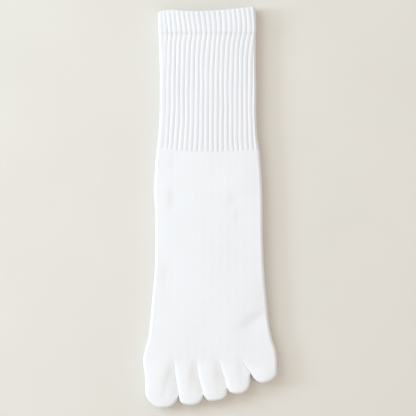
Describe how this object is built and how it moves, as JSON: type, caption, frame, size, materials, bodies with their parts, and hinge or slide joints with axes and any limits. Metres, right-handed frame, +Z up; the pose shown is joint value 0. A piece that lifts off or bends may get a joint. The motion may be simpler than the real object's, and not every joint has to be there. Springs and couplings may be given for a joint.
{
  "type": "toe sock",
  "caption": "White knitted crew sock with a separate pocket for each toe, lying flat with its instep up; it covers a left foot and ankle.",
  "frame": {"origin": "on the surface that the sock lies on, below the middle of its bounding box", "axes": "+Y along the sock towards the cuff, +Z up from the surface to the instep, +X towards the little toe's side"},
  "size_m": [0.1116, 0.3362, 0.011],
  "materials": {
    "rib_knit": "matt white cotton, knitted in ribs",
    "plain_knit": "matt white cotton, plain knit",
    "heel_knit": "matt white cotton, dense plain knit"
  },
  "bodies": {
    "root": {"welt": "rib_knit", "ribbed_leg": "rib_knit", "foot": "plain_knit", "heel": "heel_knit", "big_toe_pocket": "plain_knit", "second_toe_pocket": "plain_knit", "middle_toe_pocket": "plain_knit", "fourth_toe_pocket": "plain_knit", "little_toe_pocket": "plain_knit"}
  },
  "joints": []
}
